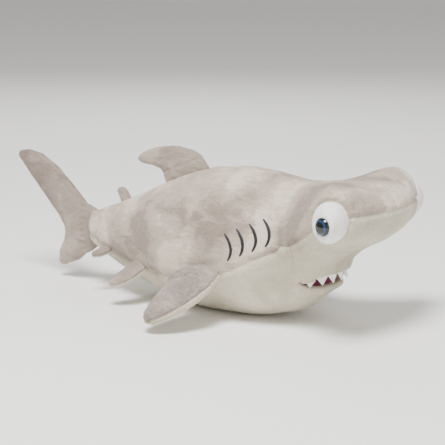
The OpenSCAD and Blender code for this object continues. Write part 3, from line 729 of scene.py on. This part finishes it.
for side_name, side in (("left", 1), ("right", -1)):
    node = "eye_" + side_name
    low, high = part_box(node)
    turn = math.radians(15)
    out = Vector((-math.sin(turn), side * math.cos(turn), 0))
    proud = max(abs(low.y), abs(high.y)) - 5.9 * MM * math.cos(turn)
    seat = Vector((eye_x, side * proud, eye_z)) + out * 0.4 * MM
    along = Vector((math.cos(turn), side * math.sin(turn), 0))
    up = Vector((0, 0, 1))
    rings = [
        (0.3, -11), (2.4, -11.4), (2.5, -1.2), (6.0, -1.0), (8.55, -0.9), (9.0, -0.4), (9.0, 0.2),
        (8.75, 0.75), (8.1, 1.6), (7.0, 2.75), (5.6, 3.85), (3.9, 4.75), (2.0, 5.35), (0.6, 5.5),
    ]
    points, faces = [], []
    count = 48
    for radius, height in rings:
        for k in range(count):
            a = 2 * math.pi * k / count
            round_way = along * math.cos(a) + up * math.sin(a)
            points.append(seat + out * height * MM + radius * MM * round_way)
    for i in range(len(rings) - 1):
        for k in range(count):
            b = (k + 1) % count
            quad = [i * count + k, i * count + b, (i + 1) * count + b, (i + 1) * count + k]
            faces.append(quad if side < 0 else quad[::-1])
    last = (len(rings) - 1) * count
    tip = [last + k for k in range(count)]
    faces.append(tip if side < 0 else tip[::-1])
    faces.append([k for k in range(count)][::-1] if side < 0 else [k for k in range(count)])
    eye = solid("glass_eye_" + side_name, (points, [], faces), [eye_look(side_name, seat, out)])
    eye = smoothed(eye, 1)
    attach(eye, "trunk")
    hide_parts(node)

# Moulded polypropylene is white, a little waxy and unevenly dull.
washer_white, tree, shader, place = surface("moulded white polypropylene")
haze = add(tree, "ShaderNodeTexNoise", {"Vector": place, "Scale": 900.0, "Detail": 2.0})
dull = add(tree, "ShaderNodeMapRange", {"Value": (haze, "Fac"), "To Min": 0.4, "To Max": 0.55})
tree.links.new(dull.outputs["Result"], shader.inputs["Roughness"])
shader.inputs["Base Color"].default_value = linear("#e9e9e4")
for side_name in ("left", "right"):
    washer = frame["nodes"]["eye_washer_" + side_name]
    washer.data.materials.clear()
    washer.data.materials.append(washer_white)

# ---- Gills ----
# Four black arcs on each side, embroidered in satin stitch: rayon thread laid side by side
# across the arc, so it is slightly raised and has a fine ribbed shine.

# Rayon thread is near black with a soft shine, finely streaked along its strands.
gill_thread, tree, shader, place = surface("black rayon thread")
strands = add(tree, "ShaderNodeTexNoise", {"Vector": place, "Scale": 900.0, "Detail": 2.0})
blacks = add(tree, "ShaderNodeValToRGB", {"Fac": (strands, "Fac")})
blacks.color_ramp.elements[0].color = linear("#08080a")
blacks.color_ramp.elements[1].color = linear("#1a1b1e")
strand_bump = add(tree, "ShaderNodeBump", {
    "Height": (strands, "Fac"), "Strength": 0.4, "Distance": 0.0004,
})
tree.links.new(blacks.outputs["Color"], shader.inputs["Base Color"])
tree.links.new(strand_bump.outputs["Normal"], shader.inputs["Normal"])
shader.inputs["Roughness"].default_value = 0.5
shader.inputs["Sheen Weight"].default_value = 0.1

gill_width = 3.8 * MM
gill_height = 0.55 * MM
stitch = 0.75 * MM
for side_name, side in (("left", 1), ("right", -1)):
    points, faces = [], []
    for k in range(4):
        steps = 108
        line = []
        for i in range(steps + 1):
            s = i / steps
            x = neck_x + (-53.6 + 12.4 * k + 28.8 * s - 21.8 * s * s) * MM
            z = (94.6 + 5.6 * k - 26 * s) * MM
            at, out, face, far = body_tree.ray_cast(Vector((x, side * 0.2, z)), Vector((0, -side, 0)))
            line.append((at, out, s))
        for i, (at, out, s) in enumerate(line):
            ahead = (line[min(i + 1, steps)][0] - line[max(i - 1, 0)][0]).normalized()
            over = ahead.cross(out).normalized()
            wide = gill_width / 2 * (math.sin(math.pi * min(max(s, 0.004), 0.996)) ** 0.25)
            wide *= 1 + 0.06 * noise.noise(at * 900)
            rib = 0.75 + 0.25 * abs(math.sin(math.pi * s * 29 * MM / stitch))
            for share, height in ((-1, -0.35), (-0.72, 0.55), (0, 1), (0.72, 0.55), (1, -0.35)):
                points.append(at + over * wide * share + out * gill_height * height * rib)
        first = len(points) - 5 * (steps + 1)
        for i in range(steps):
            for j in range(4):
                a = first + i * 5 + j
                faces.append([a, a + 1, a + 6, a + 5])
    gill = solid("gill_embroidery_" + side_name, (points, [], faces), [gill_thread])
    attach(gill, "trunk")
    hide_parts("gill_stitches_" + side_name)

# ---- Teeth ----
# One strip of white felt, cut into a row of points and caught in the seam of the upper lip.

# Wool felt is matt and faintly uneven, with a short fuzz of matted fibres.
felt, tree, shader, place = surface("white wool felt")
fibres = add(tree, "ShaderNodeTexNoise", {
    "Vector": place, "Scale": 650.0, "Detail": 4.0, "Roughness": 0.7,
})
whites = add(tree, "ShaderNodeValToRGB", {"Fac": (fibres, "Fac")})
whites.color_ramp.elements[0].color = linear("#e6e3dc")
whites.color_ramp.elements[0].position = 0.3
whites.color_ramp.elements[1].color = linear("#fdfcf8")
whites.color_ramp.elements[1].position = 0.6
fibre_bump = add(tree, "ShaderNodeBump", {
    "Height": (fibres, "Fac"), "Strength": 0.5, "Distance": 0.0006,
})
tree.links.new(whites.outputs["Color"], shader.inputs["Base Color"])
tree.links.new(fibre_bump.outputs["Normal"], shader.inputs["Normal"])
shader.inputs["Roughness"].default_value = 0.95
shader.inputs["Sheen Weight"].default_value = 0.3

strip = shell("felt_teeth")
bmesh.ops.subdivide_edges(strip, edges=strip.edges, cuts=2, use_grid_fill=True)
bmesh.ops.triangulate(strip, faces=[f for f in strip.faces if len(f.verts) > 4])
lip_line = max(v.co.z for v in strip.verts)
for v in strip.verts:
    hang = max(0.0, lip_line - v.co.z)
    away = Vector((v.co.x - mouth_at.x, v.co.y, 0)).normalized()
    v.co += away * (hang * 0.16 + 0.35 * MM * noise.noise(v.co * 190))
teeth = solid("felt_tooth_strip", strip, [felt])
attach(teeth, "trunk")
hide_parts("felt_teeth")

# ---- Fins ----
# Each fin is two panels sewn round three sides, turned, stuffed and closed into the body. The
# pectoral fins are plump, with folds where they are sewn in, and the small fins are nearly flat.


def fin_hull(names, grain):
    """One skin round a fin's panels and filling."""
    mesh = bmesh.new()
    for name in names:
        mesh.from_mesh(frame["nodes"][name].data)
    bmesh.ops.remove_doubles(mesh, verts=mesh.verts, dist=0.01 * MM)
    hull = solid("hull", mesh, [])
    cover = hull.modifiers.new("cover", "REMESH")
    cover.mode = "VOXEL"
    cover.voxel_size = grain
    applied(hull)
    mesh = bmesh.new()
    mesh.from_mesh(hull.data)
    bpy.data.objects.remove(hull)
    left, parts = set(mesh.verts), []
    while left:
        part, edge_of = set(), [left.pop()]
        while edge_of:
            v = edge_of.pop()
            part.add(v)
            for e in v.link_edges:
                other = e.other_vert(v)
                if other in left:
                    left.discard(other)
                    edge_of.append(other)
        parts.append(part)
    parts.sort(key=len)
    bmesh.ops.delete(mesh, geom=[v for part in parts[:-1] for v in part], context="VERTS")
    return mesh


def seam_way(first, second, axis):
    """The square-on direction of the plane in which two panels meet along a fin's rim."""
    points = [v.co for v in frame["nodes"][second].data.vertices]
    finder = KDTree(len(points))
    for k, co in enumerate(points):
        finder.insert(co, k)
    finder.balance()
    pairs = [(v.co, finder.find(v.co)) for v in frame["nodes"][first].data.vertices]
    nearest = min(hit[2] for co, hit in pairs)
    touching = [(co + hit[0]) / 2 for co, hit in pairs if hit[2] < nearest + 0.4 * MM]
    centre = sum(touching, Vector()) / len(touching)
    along = axis.normalized()
    best, spread = None, 1e9
    other = along.orthogonal()
    for step in range(720):
        turn = math.pi * step / 720
        way = other * math.cos(turn) + along.cross(other) * math.sin(turn)
        this = sum(((co - centre).dot(way)) ** 2 for co in touching)
        if this < spread:
            best, spread = way, this
    return best, centre


hinge_of = {joint["child"]: joint for joint in frame["joints"]}


def finished_fin(
    fin, names, finishes, grain, puff, folds, seam=1.3, deep=8 * MM, plump=0,
):
    """Makes a fin's two stuffed panels. names are the two panels and the filling, and deep is how
    far the root is drawn into the body."""
    joint = hinge_of[fin]
    root = Vector(joint["pos_m"])
    axis = Vector(joint["axis"]).normalized()
    side_way, seam_at = seam_way(names[0], names[1], axis)
    mesh = fin_hull(names, grain)
    middle_of_fin = sum((v.co for v in mesh.verts), Vector()) / len(mesh.verts)
    way = axis.cross(side_way)
    if (middle_of_fin - root).dot(way) < 0:
        way = -way
    first = frame["nodes"][names[0]].data.vertices
    lean = sum(((v.co - seam_at).dot(side_way) for v in first)) / len(first)
    if lean < 0:
        side_way = -side_way
    sewn_in = 9 * MM
    for v in mesh.verts:
        at, out, face, far = body_tree.find_nearest(v.co)
        height = max(0.0, min(far, (v.co - root).dot(way) + 3 * MM))
        if height < sewn_in:
            v.co -= way * deep * (1 - height / sewn_in)
    piece = solid(fin, mesh, [])
    round_off = piece.modifiers.new("round", "SMOOTH")
    round_off.factor = 0.5
    round_off.iterations = 3
    applied(piece)
    if puff:
        held = {}
        for v in piece.data.vertices:
            flat = abs((v.co - seam_at).dot(side_way))
            if (v.co - root).dot(way) < 3 * MM:
                held[v.index] = 1.0
            elif flat < 0.9 * MM:
                held[v.index] = 0.8
        stuffed(piece, held, 2.5, puff, frames=14)
    piece = smoothed(piece, 1)
    mesh = bmesh.new()
    mesh.from_mesh(piece.data)
    bpy.data.objects.remove(piece)
    cut = bmesh.ops.bisect_plane(
        mesh, geom=mesh.verts[:] + mesh.edges[:] + mesh.faces[:], dist=0.02 * MM,
        plane_co=seam_at, plane_no=side_way,
    )
    rim = [g for g in cut["geom_cut"] if isinstance(g, bmesh.types.BMVert)]
    finder = KDTree(len(rim))
    for k, v in enumerate(rim):
        finder.insert(v.co, k)
    finder.balance()
    mesh.normal_update()
    moves = {}
    for v in mesh.verts:
        co = v.co
        far = finder.find(co)[2]
        height = (co - root).dot(way) / MM
        across = (co - root).dot(axis) / MM
        upper = (co - seam_at).dot(side_way) > 0
        shift = -seam * MM * fade(far, 1.5 * MM) * (1 + 0.5 * noise.noise(co * 160))
        shift += 0.35 * seam * MM * fade(far - 5 * MM, 3.2 * MM) * (1 + 0.9 * noise.noise(co * 110))
        shift += 0.5 * MM * noise.noise(co * 45) + 0.3 * MM * noise.noise(co * 110)
        shift += folds(across, height, upper, far) * MM
        shift += plump * (1 - fade(far, 9 * MM)) * (1.25 if upper else 0.9)
        moves[v] = co + v.normal * shift
    for v, co in moves.items():
        v.co = co
        v.co.z = max(v.co.z, 0.4 * MM)
    for number in range(2):
        half_mesh = mesh.copy()
        drop = [
            f for f in half_mesh.faces
            if ((f.calc_center_median() - seam_at).dot(side_way) > 0) == (number == 1)
        ]
        bmesh.ops.delete(half_mesh, geom=drop, context="FACES")
        name = names[number].replace("_panel", "") + "_fabric"
        panel = solid(name, half_mesh, [finishes[number]])
        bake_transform(panel)
        if number == 0:
            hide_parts(names[0], names[2])
        else:
            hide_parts(names[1])
    mesh.free()


def tail_folds(across, height, upper, far):
    """A ridge runs inside the leading edge, and the root is gathered."""
    lead = -0.7 * fade(far - 6.5 * MM, 1.3 * MM) * (1 if across > -8 and height > 3 else 0.25)
    gather = -0.7 * fade(height - 2, 3) * (1 + math.sin(across * 0.9))
    return lead + gather


def dorsal_folds(across, height, upper, far):
    """One slanting crease lies over the root seam."""
    return -0.5 * fade(height - 4 - 0.06 * across, 2.2) + 0.25 * fade(height - 9, 3)


def pectoral_folds(across, height, upper, far):
    """Two deep folds cross the top of the fin where it is sewn in."""
    wave = 1.6 * math.sin(across * 0.11 + 0.6)
    first = fade(height - 5.5 - wave, 2.1)
    second = fade(height - 12.5 - 1.5 * wave, 2.4) * fade(across + 4, 20)
    swell = fade(height - 9 - wave, 2.6)
    amount = 1.0 if upper else 0.55
    bulge = 5.8 * fade(height - 3, 11) * fade(across + 3, 18) if upper else 0
    return amount * (-3.0 * first - 2.2 * second + 1.2 * swell) + bulge


def pelvic_folds(across, height, upper, far):
    """Shallow creases run along the fin from its root."""
    crease = math.sin(across * 0.85 + 0.8 * math.sin(height * 0.2))
    return (-0.55 if upper else -0.3) * max(0.0, crease) * fade(height - 12, 13)


def anal_folds(across, height, upper, far):
    """A small fin is only drawn in at its root seam."""
    return -0.25 * fade(height - 3, 2)


finished_fin(
    "dorsal_fin", ["dorsal_fin_left_panel", "dorsal_fin_right_panel", "dorsal_fin_stuffing"],
    [tail_plush, tail_plush], 1.3 * MM, 1.0 * MM, dorsal_folds,
    deep=11 * MM, plump=1.6 * MM,
)
finished_fin(
    "rear_dorsal_fin",
    ["rear_dorsal_fin_left_panel", "rear_dorsal_fin_right_panel", "rear_dorsal_fin_stuffing"],
    [tail_plush, tail_plush], 0.8 * MM, 0, anal_folds,
    seam=0.5, deep=7 * MM,
)
finished_fin(
    "tail_fin", ["tail_fin_left_panel", "tail_fin_right_panel", "tail_fin_stuffing"],
    [tail_plush, tail_plush], 1.4 * MM, 1.2 * MM, tail_folds,
    deep=6 * MM, plump=1.2 * MM,
)
for side_name in ("left", "right"):
    for kind, top, grain, puff, folds, seam, deep, plump in (
        ("pectoral", curly_plush, 1.2 * MM, 1.8 * MM, pectoral_folds, 1.4, 9 * MM, 3.6 * MM),
        ("pelvic", tail_plush, 0.9 * MM, 0, pelvic_folds, 0.8, 8 * MM, 1.6 * MM),
        ("anal", tail_plush, 0.7 * MM, 0, anal_folds, 0.45, 5 * MM, 0.5 * MM),
    ):
        fin = kind + "_" + side_name
        finished_fin(
            fin + "_fin", [fin + "_upper_panel", fin + "_lower_panel", fin + "_stuffing"],
            [top, cream_plush],
            grain, puff, folds, seam, deep, plump,
        )
